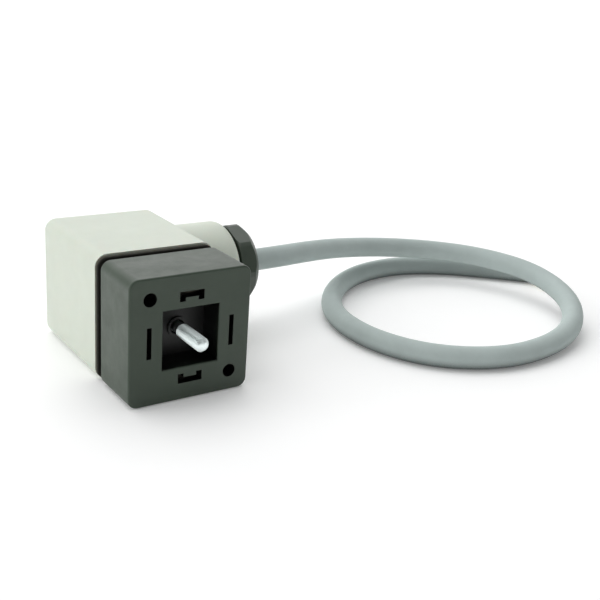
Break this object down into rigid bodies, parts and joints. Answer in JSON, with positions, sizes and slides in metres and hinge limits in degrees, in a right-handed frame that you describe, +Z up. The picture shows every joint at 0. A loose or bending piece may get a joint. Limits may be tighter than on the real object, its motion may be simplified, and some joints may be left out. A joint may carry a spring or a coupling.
{
  "type": "solenoid valve connector",
  "caption": "Square form A plug for a solenoid valve coil, with a tall electronics housing, a captive fixing screw, a side cable gland and a short looped lead.",
  "frame": {"origin": "centre of the mating face, on the fixing screw's axis", "axes": "+Y from the mating face into the housing, along the fixing screw; +X towards the cable gland; +Z up"},
  "size_m": [0.1412, 0.0677, 0.0268],
  "materials": {
    "carrier_plastic": "dark olive-grey glass-filled nylon, matt",
    "gasket_rubber": "brown-black nitrile rubber, matt",
    "housing_plastic": "pale greenish-grey nylon, satin",
    "zinc_steel": "bright zinc-plated steel",
    "black_rubber": "black nitrile rubber, matt",
    "natural_nylon": "natural nylon, satin",
    "tinned_brass": "tin-plated brass, semi-bright",
    "nut_plastic": "dark olive-grey glass-filled nylon, matt",
    "cable_sheath": "blue-grey PVC sheath, matt",
    "core_brown": "brown PVC, satin",
    "core_blue": "blue PVC, satin",
    "core_green_yellow": "green and yellow striped PVC, satin",
    "tinned_copper": "tin-plated copper, semi-bright",
    "board_laminate": "green solder mask on glass laminate, satin",
    "capacitor_sleeve": "black heat-shrunk sleeve, gloss",
    "black_moulding": "black epoxy moulding, matt",
    "ferrite": "dark grey ferrite, matt",
    "varistor_coating": "blue epoxy coating, satin"
  },
  "bodies": {
    "connector": {"contact_carrier": "carrier_plastic", "housing_gasket": "gasket_rubber", "electronics_housing": "housing_plastic", "screw_retainer": "natural_nylon", "contact_left": "tinned_brass", "contact_right": "tinned_brass", "contact_top": "tinned_brass", "contact_bottom": "tinned_brass", "sealing_grommet": "black_rubber", "inner_sheath": "cable_sheath", "inner_core_brown": "core_brown", "inner_core_blue": "core_blue", "inner_core_green_yellow": "core_green_yellow", "cable": "cable_sheath", "end_core_brown": "core_brown", "end_core_blue": "core_blue", "end_core_green_yellow": "core_green_yellow", "core_ferrules": "tinned_copper", "circuit_board": "board_laminate", "smoothing_capacitor": "capacitor_sleeve", "power_transistor": "black_moulding", "bridge_rectifier": "black_moulding", "choke": "ferrite", "varistor": "varistor_coating"},
    "screw_slide": {"screw_o_ring": "black_rubber"},
    "screw": {"fixing_screw": "zinc_steel"},
    "ring_slide": {"thrust_ring": "natural_nylon"},
    "nut": {"gland_nut": "nut_plastic"}
  },
  "joints": [
    {"name": "screw_travel", "type": "slide", "parent": "connector", "child": "screw_slide", "axis": [0, 1, 0], "range_m": [0, 0.007]},
    {"name": "screw_turn", "type": "hinge", "parent": "screw_slide", "child": "screw", "pos_m": [0, 0, 0], "axis": [0, 1, 0], "continuous": true},
    {"name": "nut_travel", "type": "slide", "parent": "connector", "child": "ring_slide", "axis": [1, 0, 0], "range_m": [0, 0.00494]},
    {"name": "nut_turn", "type": "hinge", "parent": "ring_slide", "child": "nut", "pos_m": [0, 0.0285, 0.0033], "axis": [1, 0, 0], "range_deg": [0, 1260]}
  ],
  "couplings": [
    {"joint": "nut_travel", "follows": "nut_turn", "m_per_rad": 0.00022457}
  ]
}
